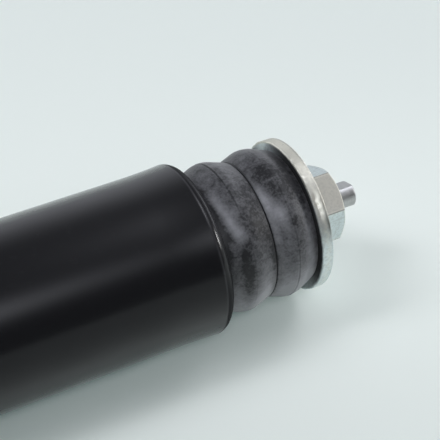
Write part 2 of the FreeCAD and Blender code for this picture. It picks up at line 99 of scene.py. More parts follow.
def placeCamera():
    # eye = aimed point - depth * (right * across - up * down + ahead), which is the ray of its pixel
    turn, drop = np.radians(view["turn"]), np.radians(view["drop"])
    level = Vector((np.sin(turn), np.cos(turn), 0))
    right = Vector((np.cos(turn), -np.sin(turn), 0))
    ahead = level * np.cos(drop) - Vector((0, 0, np.sin(drop)))
    up = level * np.sin(drop) + Vector((0, 0, np.cos(drop)))
    across, down = ((pixel - view["frameSize"] / 2) / view["focal"] for pixel in view["aimPixel"])
    aim = Vector((parting - view["aimBehindParting"], 0, 0)) * mm
    eye = aim - (right * across - up * down + ahead) * view["aimDepth"] * mm
    lens = bpy.data.cameras.new("photoCamera")
    lens.sensor_width = view["sensor"]
    lens.lens = view["sensor"] * view["focal"] / view["frameSize"]
    lens.clip_start = view["nearest"] * mm
    camera = addObject("photoCamera", lens)
    camera.matrix_world = Matrix((
        (right.x, up.x, -ahead.x, eye.x), (right.y, up.y, -ahead.y, eye.y),
        (right.z, up.z, -ahead.z, eye.z), (0, 0, 0, 1)))
    scene.camera = camera
    return right, level


cameraRight, cameraLevel = placeCamera()
print("camera placed")


def roundedProfile(corners, steps=8, guard=0.5, guardShare=0.4, wornBelow=1.6):
    # each corner (station, radius, rounding) becomes an arc that touches both its sides; a guard point
    # beside each end of it lets the edge value, which small roundings have, fade
    spots = np.array([corner[:2] for corner in corners], float)
    points, edges = [], []
    for spot, before, after, corner in zip(spots, np.roll(spots, 1, 0), np.roll(spots, -1, 0), corners):
        rounding = corner[2] if len(corner) > 2 else 0.0
        if rounding == 0.0:
            points.append(spot[None])
            edges.append([0.0])
            continue
        back = (before - spot) / np.linalg.norm(before - spot)
        onward = (after - spot) / np.linalg.norm(after - spot)
        half = 0.5 * np.arccos(np.clip(back @ onward, -1, 1))
        bisector = (back + onward) / np.linalg.norm(back + onward)
        centre = spot + bisector * rounding / np.sin(half)
        reach = rounding / np.tan(half)
        first, last = spot + back * reach - centre, spot + onward * reach - centre
        sweep = np.arccos(np.clip(first @ last / rounding ** 2, -1, 1))
        share = np.linspace(0, 1, steps + 1)[:, None]
        arc = np.sin((1 - share) * sweep) * first + np.sin(share * sweep) * last
        arc = centre + arc / np.sin(sweep)
        lead, tail = (reach + min(guard, guardShare * (np.linalg.norm(other - spot) - reach))
                      for other in (before, after))
        points.append(np.vstack([spot + back * lead, arc, spot + onward * tail]))
        edges.append([0.0] + [float(rounding < wornBelow)] * (steps + 1) + [0.0])
    return np.vstack(points), np.concatenate(edges)


def mergePoints(mesh):
    # points that lie in one place, as at seams and poles, become one
    merged = bmesh.new()
    merged.from_mesh(mesh)
    bmesh.ops.remove_doubles(merged, verts=merged.verts, dist=mergeDistance)
    merged.to_mesh(mesh)
    merged.free()


def gridPiece(name, points, closedRows=True, closedColumns=True, values=None, sharp=32.0):
    # points (rows, columns, 3) in millimetres become quads between neighbouring rows and columns; values
    # are kept at the points, and an edge that bends by more than the sharp angle stays sharp
    rows, columns = points.shape[:2]
    index = np.arange(rows * columns).reshape(rows, columns)
    index = np.pad(index, ((0, closedRows), (0, closedColumns)), "wrap")
    quads = np.stack([index[:-1, :-1], index[:-1, 1:], index[1:, 1:], index[1:, :-1]], -1).reshape(-1, 4)
    mesh = bpy.data.meshes.new(name)
    mesh.from_pydata((points.reshape(-1, 3) * mm).tolist(), [], quads.tolist())
    for key, value in (values or {}).items():
        layer = mesh.attributes.new(key, "FLOAT", "POINT")
        layer.data.foreach_set("value", np.broadcast_to(value, (rows, columns)).astype(np.float32).ravel())
    mergePoints(mesh)
    mesh.shade_smooth()
    mesh.set_sharp_from_angle(angle=np.radians(sharp))
    mesh.update()
    return addObject(name, mesh)


def aroundAxis(grid, angles, about="x"):
    # point = (station, radius * cos(angle), radius * sin(angle)), with the station along the chosen axis
    along, radius = grid[..., 0], grid[..., 1]
    first, second = radius * np.cos(angles), radius * np.sin(angles)
    return np.stack((along, first, second) if about == "x" else (second, along, first), -1)


madePieces = []


def finishPiece(piece, body, slot, node):
    # the piece moves with its body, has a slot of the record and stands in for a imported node
    madePieces.append(piece)
    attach(piece, body)
    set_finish(piece, slot)
    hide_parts(node)


def turnedPiece(node, kind, body, slot, outline, columns, about="x", swell=None, sharp=32.0, shades=None):
    # an outline, which is a profile and its edge values, goes round an axis, clockwise in (station, radius)
    # so that its faces point outwards; swell(station, radius, angle) adds to the radius, and shades, which
    # takes the same, gives more values
    profile, edge = outline
    x, r = profile.T
    way = -1 if np.sum(x * np.roll(r, -1) - np.roll(x, -1) * r) > 0 else 1
    angles = np.linspace(0, 2 * np.pi, columns, endpoint=False)[None, :]
    grid = np.repeat(profile[::way, None, :], columns, 1)
    if swell:
        grid[..., 1] += swell(grid[..., 0], grid[..., 1], angles)
    values = dict(edge=edge[::way, None])
    if shades:
        values.update(shades(grid[..., 0], grid[..., 1], angles))
    piece = gridPiece(node + kind, aroundAxis(grid, angles, about), values=values, sharp=sharp)
    finishPiece(piece, body, slot, node)


def fillRuns(profile, edge, longest):
    # adds evenly spaced points on each run of the profile that is longer than the longest allowed, which
    # is one length or a list
    ends, endEdges = np.roll(profile, -1, 0), np.roll(edge, -1)
    counts = np.maximum(1, np.ceil(np.linalg.norm(ends - profile, axis=1) / longest)).astype(int)
    starts = np.repeat(np.arange(len(profile)), counts)
    share = np.arange(counts.sum()) - np.repeat(np.cumsum(counts) - counts, counts)
    share = share / np.repeat(counts, counts)
    mixed = profile[starts] + share[:, None] * (ends - profile)[starts]
    return mixed, edge[starts] + share * (endEdges - edge)[starts]


def bell(x, centre, width):
    # bell curve: exp(-(distance / width) squared)
    return np.exp(-((x - centre) / width) ** 2)


def bellRound(angle, bearing, spread):
    # bell curve round an axis: the turn from the bearing, in degrees, is taken the shorter way
    return bell((np.degrees(angle) - bearing + 180) % 360 - 180, 0.0, spread)


def waves(angle, seed, first, last):
    # smooth closed wave round a circle: a sum of cosines from the first to the last order, seeded phases
    orders = np.arange(first, last + 1)
    phases = np.random.default_rng(seed).uniform(0, 2 * np.pi, len(orders))
    return np.sum(np.cos(orders * np.asarray(angle)[..., None] + phases) / orders, -1)


# Dust cover: thin tube whose rim swells, turns over in a crease and rolls in to a lip
cover = dict(
    wall=1.2, swell=0.41, swellLength=11.5, shoulderRadius=3.6, shoulderStart=8.0, shoulderEnd=72.0,
    lipRise=1.6, mouthRound=0.35, lipRound=0.3, rimSteps=40, longestRun=6.0, columns=288,
    matte=0.9, matteLead=0.1, matteFade=0.3, edgeWidth=0.24, highlightPast=0.1, lipHighlight=0.3,
    polish=0.6, polishAt=(140.0, 22.0), haze=0.55, hazeAt=(162.0, 24.0))  # bearing and spread


def makeCover():
    # wall, then radius + swell * share squared, then an arc from the crease to the lip; the same inside
    mouth, bend = station("dust_cover", 0), cover["shoulderRadius"]
    start, end = np.radians(cover["shoulderStart"]), np.radians(cover["shoulderEnd"])
    crease = outerRadius("dust_cover") - bend * (1 - np.cos(start))
    creaseX = seat + cover["lipRise"] - bend * (np.sin(end) - np.sin(start))
    centre = np.array([creaseX - bend * np.sin(start), crease - bend * np.cos(start)])
    turns = np.linspace(start, end, cover["rimSteps"] + 1)[:, None]
    sides = []
    for inset in (0.0, cover["wall"]):
        wall = crease - cover["swell"] - inset
        arc = centre + (bend - inset) * np.hstack([np.sin(turns), np.cos(turns)])
        along = np.linspace(creaseX - cover["swellLength"], arc[0, 0], cover["rimSteps"])[:-1]
        share = (along - along[0]) / (arc[0, 0] - along[0])
        swelling = np.stack([along, wall + (arc[0, 1] - wall) * share ** 2], -1)
        sides.append(np.vstack([[mouth, wall], swelling, arc]))
    outer, inner = sides
    corners = [(*inner[0], cover["mouthRound"]), (*outer[0], cover["mouthRound"]), *outer[1:-1],
               (*outer[-1], cover["lipRound"]), (*inner[-1], cover["lipRound"]), *inner[-2:0:-1]]
    outline = fillRuns(*roundedProfile(corners), cover["longestRun"])

    def shades(x, r, angle):
        # matte = a haze on the wall round one bearing, and a matt rim past the crease, less a polish round
        # another; edge = bells on the crease and the lip, which are painted highlight lines, and on the
        # mouth, which is wear
        past = np.clip((x - creaseX + cover["matteLead"]) / cover["matteFade"], 0, 1)
        polish = cover["polish"] * bellRound(angle, *cover["polishAt"])
        haze = cover["haze"] * bellRound(angle, *cover["hazeAt"])
        # painted highlight lines on the crease and the lip, and wear on the mouth
        edgeHighlightAndWear = bell(x, creaseX + cover["highlightPast"], cover["edgeWidth"]) + bell(x, mouth, cover["edgeWidth"])
        edgeHighlightAndWear = edgeHighlightAndWear + cover["lipHighlight"] * bell(x, outer[-1, 0], cover["edgeWidth"])
        return dict(matte=haze + past * (cover["matte"] - polish - haze), edge=edgeHighlightAndWear)

    turnedPiece("dust_cover", "_shell", "rod", "black_paint", outline, cover["columns"], shades=shades)


# Rubber cushions: barrels with a rounded crown and a thin moulding line beside it
cushions = dict(
    endRadius=18.487, grooveRadius=18.787, crown=20.937, crownRound=6.0, corner=0.5, lowerCrown=9.05,
    foot=2.85, hole=7.95, spigot=11.45, spigotHeight=4.0, spigotGap=0.2, steps=10, longestRun=0.45,
    columns=288, skinFrom=17.0, skinFade=1.5, uneven=0.05, lumpTwist=0.09, lumpPitch=0.35,
    lineBack=0.5, lineReach=0.6, lineClear=0.64, lineRows=17, lineDepth=0.2, lineWidth=0.22, lineLip=0.5,
    lipAway=0.3, lineWander=0.05, lineFaint=0.15, lineEven=0.85, lineBreak=0.2, lineSpread=34.0,
    lineDark=0.35, grooveDark=0.6, grooveWidth=0.25)
# Skins: bearing where the moulding line is clear, seed of the waves, and spots of bloom and of
# painted light and shade. A spot has millimetres from the cushion's start, degrees from +Y towards
# +Z, spread along, spread round, and amount
lowerSkin = dict(lineAt=72.0, seed=11, spots=(
    (4.5, 104, 1.5, 9, 0.5), (4.7, 116, 1.2, 8, 0.5),  # streak
    (5.6, 127, 1.2, 8, 0.7), (6.6, 137, 1.4, 7, 0.75),
    (7.0, 166, 1.2, 24, -0.27), (2.0, 130, 1.5, 48, -0.5),  # dark past the streak, and a painted shadow of the lip round the foot
    (12.0, 188, 3.0, 25, 0.45), (4.0, 188, 1.6, 18, 0.25), (12.0, 75, 3.0, 14, 0.15),  # painted light beside them
    (5.0, 208, 3.0, 17, 0.65), (11.0, 206, 4.0, 18, 0.7),  # painted light from the floor underneath
    (12.0, 128, 3.0, 24, -0.15), (14.8, 160, 1.0, 24, -0.25)))  # dark towards the groove
upperSkin = dict(lineAt=208.0, seed=23, spots=(
    (0.8, 113, 1.1, 10, 0.5), (1.8, 122, 1.5, 10, 0.45),  # streak
    (3.6, 132, 1.5, 8, 0.62), (1.1, 140, 1.0, 26, 0.25),
    (2.6, 88, 2.5, 14, -0.12), (4.2, 112, 2.0, 10, -0.12), (7.0, 112, 1.5, 12, -0.12),  # dark crown
    (10.3, 110, 1.0, 35, -0.2), (9.8, 165, 1.3, 24, 0.4),  # painted shade by the washer, then pale beside it
    (4.6, 195, 5.0, 25, 0.3), (4.0, 204, 4.0, 20, 0.8), (9.8, 200, 3.0, 20, 0.8),  # painted light from the floor underneath
    (4.1, 105, 2.0, 1.2, 0.3), (5.0, 156, 5.0, 16, 0.1)))  # scratch, and a faint cloud


def makeCushion(node, corners, crownX, skin):
    # rounded barrel profile, with closer rows on the moulding line that runs round beside the crown
    start, seed = corners[0][0], skin["seed"]
    profile, edge = fillRuns(*roundedProfile(corners, cushions["steps"]), cushions["longestRun"])
    lineX = crownX - cushions["lineBack"]
    rows = np.linspace(-cushions["lineReach"], cushions["lineReach"], cushions["lineRows"]) + lineX
    shown = profile[:, 1] > cushions["skinFrom"]
    order = np.argsort(profile[shown, 0])
    extra = np.stack([rows, np.interp(rows, *profile[shown][order].T)], -1)
    keep = ~(shown & (np.abs(profile[:, 0] - lineX) < cushions["lineClear"]))
    first = int(np.flatnonzero(~keep)[0])
    profile = np.insert(profile[keep], first, extra, 0)
    edge = np.insert(edge[keep], first, np.zeros(len(extra)))

    def lineShare(angle):
        # the moulding line is clear round one bearing and faint elsewhere, and a wave breaks it up
        faint = cushions["lineFaint"]
        clear = faint + (1 - faint) * bellRound(angle, skin["lineAt"], cushions["lineSpread"])
        return clear * (cushions["lineEven"] + cushions["lineBreak"] * waves(angle, seed + 3, 4, 20))

    def swell(x, r, angle):
        # lumps = a wave round times a cosine along; the line is a groove with a low lip beside it
        lumps = waves(angle + cushions["lumpTwist"] * x, seed, 2, 9)
        lumps = lumps * np.cos(cushions["lumpPitch"] * (x - crownX) + waves(angle, seed + 1, 1, 4))
        centre = lineX + cushions["lineWander"] * waves(angle, seed + 2, 3, 12)
        line = cushions["lineLip"] * bell(x, centre + cushions["lipAway"], cushions["lineWidth"])
        line = lineShare(angle) * (line - bell(x, centre, cushions["lineWidth"]))
        onSkin = np.clip((r - cushions["skinFrom"]) / cushions["skinFade"], 0, 1)
        return onSkin * (cushions["uneven"] * lumps + cushions["lineDepth"] * line)

    def shades(x, r, angle):
        # sum of amount * bell along * bell round, which is bloom and painted light and shade, less dark
        # bands on the line and at the parting
        bloom = -cushions["grooveDark"] * bell(x, parting, cushions["grooveWidth"])
        bloom = bloom - cushions["lineDark"] * lineShare(angle) * bell(x, lineX, cushions["lineWidth"])
        for along, bearing, wide, tall, amount in skin["spots"]:
            bloom = bloom + amount * bell(x - start, along, wide) * bellRound(angle, bearing, tall)
        return dict(bloom=bloom)

    turnedPiece(node, "_rubber", "rod", "cushion_rubber", (profile, edge), cushions["columns"], swell=swell,
                sharp=50.0, shades=shades)


def makeCushions():
    # corners of both barrels; the lower one has a straight foot, and a spigot that goes into the upper one
    end, groove, crown = cushions["endRadius"], cushions["grooveRadius"], cushions["crown"]
    hole, spigot, gap = cushions["hole"], cushions["spigot"], cushions["spigotGap"]
    corner, crownRound = cushions["corner"], cushions["crownRound"]
    foot, top = seat + cushions["foot"], parting + cushions["spigotHeight"]
    lowerCrown, upperCrown = seat + cushions["lowerCrown"], (parting + washerFace) / 2
    lowerCorners = [
        (seat, end, corner), (foot, end, crownRound), (lowerCrown, crown, crownRound),
        (parting, groove, corner), (parting, spigot), (top, spigot), (top, hole), (seat, hole)]
    upperCorners = [
        (parting, groove, corner), (upperCrown, crown, crownRound), (washerFace, end, corner),
        (washerFace, hole), (top + gap, hole), (top + gap, spigot + gap), (parting, spigot + gap)]
    makeCushion("lower_cushion", lowerCorners, lowerCrown, lowerSkin)
    makeCushion("upper_cushion", upperCorners, upperCrown, upperSkin)


# Washer: stamped disc with a ragged burr on the cushion's side of its rim; its colour holds a painted
# shade, a painted warm reflection, painted highlights and a painted shade line
washer = dict(
    hole=6.25, dieRoll=0.4, burr=0.3, rimDepth=0.6, rimFade=0.3, rimRow=0.12, faceRow=0.6, columns=480,
    uneven=0.03, unevenDepth=1.0, ragged=2.0, raggedDepth=0.35, burrWidth=0.55,
    tornBack=1.7, tornDepth=0.3, tornRun=0.65, tornFaint=0.25, paintedTopHighlight=0.9, shadeLineBack=2.7, shadeLineWidth=0.35,
    paintedShadeTo=20.7, paintedShadeFade=0.4, faceDepth=0.05, coolBelow=5.0, warmAbove=15.0,
    tornAt=(138.0, 13.0), paintedHighlightAt=(84.0, 24.0), shadeLineAt=(151.0, 6.0),  # bearing and spread
    paler=((52.0, 17.0, 0.95), (228.0, 18.0, 0.7)))  # bearing, spread and share of each place where the painted shade is left paler


def makeWasher():
    # rounded ring profile, with closer rows on the rim
    outer, end = outerRadius("top_washer"), station("top_washer", 1)
    corners = [(washerFace, washer["hole"], washer["burr"]), (washerFace, outer, washer["burr"]),
               (end, outer, washer["dieRoll"]), (end, washer["hole"], washer["burr"])]
    profile, edge = roundedProfile(corners)
    onRim = profile[:, 1] > outer - washer["rimDepth"]
    outline = fillRuns(profile, edge, np.where(onRim, washer["rimRow"], washer["faceRow"]))

    def tornLine(angle):
        # ragged line along the rim where the cut ends and the torn part starts
        return washerFace + washer["tornBack"] + washer["ragged"] * waves(angle, 9, 20, 90)

    def swell(x, r, angle):
        # the rim waves by a few hundredths, its burr by more, and the torn part slopes in to the cushion
        burr = washer["raggedDepth"] * waves(angle, 9, 20, 90) * bell(x, washerFace, washer["burrWidth"])
        slope = np.clip((tornLine(angle) + washer["tornRun"] - x) / (2 * washer["tornRun"]), 0, 1)
        slope = washer["tornDepth"] * bellRound(angle, *washer["tornAt"]) * slope
        relief = washer["uneven"] * waves(angle, 5, 3, 30) + burr - slope
        return relief * (r > outer - washer["unevenDepth"])

    def shades(x, r, angle):
        # the painted shade = 1 on the cushion's side out to a radius, less a bell at each paler place;
        # cut = 1 on the rim; a painted warm reflection on its upper part; edge = a bell on the torn line,
        # partly wear and round one bearing a painted highlight, or a painted highlight on the top; and a
        # painted shade line across the rim
        # painted dark shade on the face beside the cushion, left paler round two bearings
        smear = np.clip((washer["paintedShadeTo"] - r) / washer["paintedShadeFade"], 0, 1)
        smear = smear * (x < washerFace + washer["faceDepth"])
        for bearing, wide, share in washer["paler"]:
            smear = smear * (1 - share * bellRound(angle, bearing, wide))
        rim = np.clip((r - outer + washer["rimDepth"]) / washer["rimFade"], 0, 1)
        high = (r * np.sin(angle) - washer["coolBelow"]) / (washer["warmAbove"] - washer["coolBelow"])
        # pale colour on the torn line, faint all round and a painted highlight round one bearing, and a
        # painted highlight on the top
        torn = washer["tornFaint"] + (1 - washer["tornFaint"]) * bellRound(angle, *washer["tornAt"])
        torn = torn * bell(x, tornLine(angle), washer["tornRun"])
        paleWearAndHighlight = np.maximum(torn, washer["paintedTopHighlight"] * bellRound(angle, *washer["paintedHighlightAt"]))
        paleWearAndHighlight = paleWearAndHighlight * np.clip((end - washer["dieRoll"] - x) / washer["dieRoll"], 0, 1)
        # painted shade line across the rim
        shadeLine = rim * bell(x, washerFace + washer["shadeLineBack"], washer["shadeLineWidth"])
        shadeLine = shadeLine * bellRound(angle, *washer["shadeLineAt"])
        # painted warm reflection on the rim's upper part; the rest stays cool
        warm = rim * np.clip(high, 0, 1)
        return dict(smear=smear, cut=rim, warm=warm, edge=rim * paleWearAndHighlight, grime=shadeLine)

    turnedPiece("top_washer", "_disc", "rod", "zinc_plate", outline, washer["columns"], swell=swell,
                shades=shades)


# Nut: hexagon with both ends chamfered and its corners a little rounded
nut = dict(
    flats=19.0, turn=35.0, faceInset=0.3, chamfer=30.0, bore=6.05, leadIn=0.5, soften=0.1, paintedReflectionFlat=1,
    darkLineSpread=0.8, cornerWear=0.5, wearSpan=3.0, cornerSpan=4.0, cornerSteps=8, flatSteps=26,
    bodyInset=2.2, bodyRows=7, rowRise=0.02,
    rowsBeside=(-0.28, -0.18, -0.1, -0.04, 0.02, 0.08, 0.16, 0.26))  # rows beside the chamfer's edge


def softLeast(a, b, soften):
    # the lesser of two values, rounded where they are about equal
    h = np.clip(0.5 + 0.5 * (b - a) / soften, 0, 1)
    return b + (a - b) * h - soften * h * (1 - h)


def makeNut():
    # radius = softened least of half the flats / cos(angle from a flat) and the chamfer's cone
    half, end = nut["flats"] / 2, station("top_nut", 1)
    inner = 30 - nut["cornerSpan"]
    corner = np.linspace(inner, 30, nut["cornerSteps"] + 1)
    flat = np.linspace(-inner, inner, nut["flatSteps"] + 1)
    sector = np.concatenate([-corner[:0:-1], flat, corner[1:-1]])
    fromFlat = np.tile(sector, 6)
    angles = np.radians(np.repeat(60 * np.arange(6), len(sector)) + fromFlat + nut["turn"] + 30)
    inSector = np.radians(np.abs(fromFlat))
    hexagon = softLeast(half / np.cos(inSector), half / np.cos(np.radians(60) - inSector), nut["soften"])
    face, slope = half - nut["faceInset"], np.tan(np.radians(nut["chamfer"]))
    beside = np.array(nut["rowsBeside"])[:, None]
    least = nut["rowRise"] * np.arange(1, len(beside) + 1)[:, None]
    rows = np.vstack([np.zeros(len(hexagon)), np.maximum(least, (hexagon - face) * slope + beside)])
    radius = softLeast(hexagon, face + rows / slope, nut["soften"])
    radius[0] = face
    levels = np.linspace(nutFace + nut["bodyInset"], end - nut["bodyInset"], nut["bodyRows"])
    body = np.stack(np.broadcast_arrays(levels[:, None], hexagon), -1)
    mouth, bore, leadIn = nut["bore"] + nut["leadIn"], nut["bore"], nut["leadIn"]
    middle = (face + mouth) / 2
    ring = np.array([
        (end, middle), (end, mouth), (end - leadIn, bore), ((nutFace + end) / 2, bore),
        (nutFace + leadIn, bore), (nutFace, mouth), (nutFace, middle)])
    inside = np.repeat(ring[:, None, :], len(hexagon), 1)
    grid = np.concatenate([np.stack([nutFace + rows, radius], -1), body,
                           np.stack([end - rows[::-1], radius[::-1]], -1), inside])
    nearCorner = np.clip(1 - (30 - np.abs(fromFlat)) / nut["wearSpan"], 0, 1)
    chamferWear = np.ones_like(rows)
    chamferWear[[0, -1]] = nearCorner
    bodyWear = np.tile(nearCorner, (nut["bodyRows"], 1))
    wear = np.vstack([chamferWear, bodyWear, chamferWear, np.zeros(inside.shape[:2])])
    # edge = wear near the corners; the corners also get a painted dark line of shade, and one flat a painted
    # warm reflection
    values = dict(edge=nut["cornerWear"] * wear, grime=bell(np.abs(fromFlat), 30.0, nut["darkLineSpread"]),
                  warm=np.repeat(np.arange(6) == nut["paintedReflectionFlat"], len(sector)))
    piece = gridPiece("top_nut_hexagon", aroundAxis(grid, angles), values=values, sharp=28.0)
    finishPiece(piece, "rod", "zinc_plate", "top_nut")


# Rod: piston end, chromed run, threaded stud and a tip with two flats to hold it by
rod = dict(
    end=5.0, shaft=7.0, bevel=0.3, stud=6.0, lead=0.8, columns=192, pitch=1.25, pitchRows=10,
    threadDepth=0.62, threadFrom=-3.0, threadFade=1.5, grooveSlope=1.25, crest=0.12, tip=3.7, tipLength=6.5,
    tipFlats=5.6, tipTurn=70.0, tipEdge=0.5, tipSteps=6, tipStart=0.25, tipRing=1.2, flatGuard=0.02,
    flatFrom=0.2, tiny=1e-6,
    neck=((0.0, 0.25), (0.08, 0.05), (0.3, 0.0)))  # along from the stud, and out from the tip's radius


def makeRod():
    # rows of (station, radius); the thread follows station / pitch - angle / 2 pi; flats cut the tip
    shoulder, support = station("bypass_stop_washer", 1), station("support_washer", 0)
    studEnd, threadStart = stemTip - rod["tipLength"], nutFace + rod["threadFrom"]
    shaft, stud, tip, bevel, lead = rod["shaft"], rod["stud"], rod["tip"], rod["bevel"], rod["lead"]
    flatEdge = np.arccos(rod["tipFlats"] / 2 / tip)
    flatEdges = np.array([flatEdge, -flatEdge, np.pi - flatEdge, np.pi + flatEdge]) % (2 * np.pi)
    flatEdges = np.add.outer((-rod["flatGuard"], 0, rod["flatGuard"]), flatEdges).ravel()
    even = np.linspace(0, 2 * np.pi, rod["columns"], endpoint=False)
    around = np.unique(np.round(np.concatenate([even, flatEdges]), 7))
    angles = around + np.radians(rod["tipTurn"])
    foot = [(rodFoot, 0), (rodFoot, rod["end"] - lead), (rodFoot + lead, rod["end"]), (shoulder, rod["end"]),
            (shoulder, shaft - bevel), (shoulder + bevel, shaft), (support - bevel, shaft),
            (support, shaft - bevel), (support, stud)]
    thread = np.arange(threadStart, studEnd, rod["pitch"] / rod["pitchRows"])
    thread = np.stack([thread, np.full_like(thread, stud)], -1)
    neck = [(studEnd, stud - lead), *((studEnd + along, tip + out) for along, out in rod["neck"]),
            (stemTip - rod["tipEdge"], tip)]
    turns = np.linspace(rod["tipStart"], np.pi / 2, rod["tipSteps"])
    rounded = rod["tipEdge"] * np.stack([np.sin(turns) - 1, np.cos(turns) - 1], -1) + (stemTip, tip)
    profile = np.vstack([foot, thread, neck, rounded, [(stemTip, rod["tipRing"]), (stemTip, 0)]])
    x, r = np.repeat(profile[:, None, :], len(angles), 1).transpose(2, 0, 1)
    phase = (x / rod["pitch"] - angles / (2 * np.pi)) % 1.0
    groove = np.clip(rod["grooveSlope"] * (1 - 2 * np.abs(phase - 0.5)) - rod["crest"], 0, 1)
    groove = rod["threadDepth"] * groove * np.clip((x - threadStart) / rod["threadFade"], 0, 1)
    threaded = (x > threadStart) & (x < studEnd - rod["tiny"])
    r = np.where(threaded, np.minimum(r, stud - lead + studEnd - x) - groove, r)
    flat = rod["tipFlats"] / 2 / np.maximum(np.abs(np.cos(around)), rod["tiny"])
    r = np.where(x > studEnd + rod["flatFrom"], np.minimum(r, flat), r)
    wearAndHighlight = np.zeros((len(profile), 1))
    wearAndHighlight[-2 - len(rounded):-2] = 1.0
    values = dict(edge=wearAndHighlight, dull=profile[:, :1] > support)  # the stud isn't chromed
    points = aroundAxis(np.stack([x, r], -1), angles)
    piece = gridPiece("piston_rod_turned", points, closedRows=False, values=values, sharp=30.0)
    finishPiece(piece, "rod", "rod_steel", "piston_rod")


# Lower end: reservoir tube, and the eye with its rubber bush and sleeve
lower = dict(
    tube=20.5, tubeInside=19.0, tubeRound=0.2, roll=3.0, rollLip=6.5, wall=1.5, tubeRun=8.0, columns=224,
    smallRound=0.3, eye=23.45, eyeBore=17.75, eyeWidth=26.0, eyeRound=0.8, eyeRun=2.5,
    bushWidth=30.0, bushInside=9.55, bushLip=2.0, bushRound=1.3, bushCorner=0.5, bushRun=1.0,
    lipDepth=1.2, lipSink=0.12, lipWave=0.1,
    sleeve=9.5, sleeveBore=6.1, sleeveWidth=34.0, sleeveRound=0.5, sleeveRun=2.0, sleeveColumns=192)


def makeTube():
    # rounded ring profile, rolled in at the stem end
    start, end = station("reservoir_tube", 0), station("reservoir_tube", 1)
    rolled, lip, small = end - lower["wall"], lower["tube"] - lower["rollLip"], lower["smallRound"]
    corners = [(start, lower["tubeInside"]), (start, lower["tube"], lower["tubeRound"]),
               (end, lower["tube"], lower["roll"]), (end, lip, small), (rolled, lip, small),
               (rolled, lower["tubeInside"], lower["roll"] - lower["wall"])]
    outline = fillRuns(*roundedProfile(corners), lower["tubeRun"])
    turnedPiece("reservoir_tube", "_shell", "reservoir", "black_paint", outline, lower["columns"])


def ringCorners(width, bore, outer, rounding):
    # four corners of a ring's profile, alike on both sides of its middle
    half, small = width / 2, lower["smallRound"]
    return [(-half, bore, small), (-half, outer, rounding), (half, outer, rounding), (half, bore, small)]


def makeEye():
    # rounded rings about the eye's axis; the rubber's lips stand out past the eye
    corners = ringCorners(lower["eyeWidth"], lower["eyeBore"], lower["eye"], lower["eyeRound"])
    outline = fillRuns(*roundedProfile(corners), lower["eyeRun"])
    turnedPiece("lower_eye", "_ring", "reservoir", "black_paint", outline, lower["columns"], "y")
    half, bushHalf = lower["eyeWidth"] / 2, lower["bushWidth"] / 2
    bore, small, lip = lower["eyeBore"], lower["smallRound"], lower["eyeBore"] + lower["bushLip"]
    corners = [(-bushHalf, lower["bushInside"], lower["bushCorner"]), (-bushHalf, lip, lower["bushRound"]),
               (-half, lip, small), (-half, bore), (half, bore), (half, lip, small),
               (bushHalf, lip, lower["bushRound"]), (bushHalf, lower["bushInside"], lower["bushCorner"])]
    outline = fillRuns(*roundedProfile(corners), lower["bushRun"])

    def swell(y, r, angle):
        # the lips sink by a little less or more round the edge
        sunk = lower["lipWave"] * waves(angle, 41, 2, 14) - lower["lipSink"]
        return (r > lip - lower["lipDepth"]) * sunk

    turnedPiece("eye_bush", "_rubber", "reservoir", "bush_rubber", outline, lower["columns"], "y", swell,
                sharp=50.0)
    corners = ringCorners(lower["sleeveWidth"], lower["sleeveBore"], lower["sleeve"], lower["sleeveRound"])
    outline = fillRuns(*roundedProfile(corners, 6), lower["sleeveRun"])
    turnedPiece("eye_sleeve", "_tube", "eye_sleeve", "zinc_plate", outline, lower["sleeveColumns"], "y")


# Weld beads: round the base, and between the base cap and the eye
beads = dict(
    rippleDepth=0.16, bow=0.9, ripples=58, baseRows=25, baseColumns=720, baseSunk=0.1, baseStray=0.5,
    baseRest=0.75, eyeRipples=40, eyeRows=17, eyeColumns=480, eyeSunk=0.05, eyeStray=0.4, eyeRest=0.6,
    capRadius=14.0, capInside=9.0, eyeRadius=13.3, eyeNarrow=1.5, wander=0.18, bulge=0.45, bulgeOut=0.7,
    bulgeBack=0.6)


def makeBaseWeld():
    # half-round bead; its crest waves by a scalloped ripple that bows along the way it was laid
    start, end = station("base_weld", 0), station("base_weld", 1)
    crest, base = outerRadius("base_weld"), lower["tube"]
    middle, half, sunk = (start + end) / 2, (end - start) / 2, base - beads["baseSunk"]
    share = np.linspace(-1, 1, beads["baseRows"])
    over = np.stack([middle + share * half, base + (crest - base) * (1 - share ** 2)], -1)
    profile = np.vstack([over, [(end, sunk), (start, sunk)]])

    def swell(x, r, angle):
        # (1 - across squared) * depth * (size of the ripple's sine - its rest)
        across = (x - middle) / half
        phase = angle * beads["ripples"] / 2 - beads["bow"] * across ** 2
        ripple = np.abs(np.sin(phase + beads["baseStray"] * waves(angle, 61, 1, 5))) - beads["baseRest"]
        return (r > base) * (1 - across ** 2) * beads["rippleDepth"] * ripple

    outline = profile, np.zeros(len(profile))
    turnedPiece("base_weld", "_bead", "reservoir", "black_paint", outline, beads["baseColumns"], swell=swell,
                sharp=60.0)


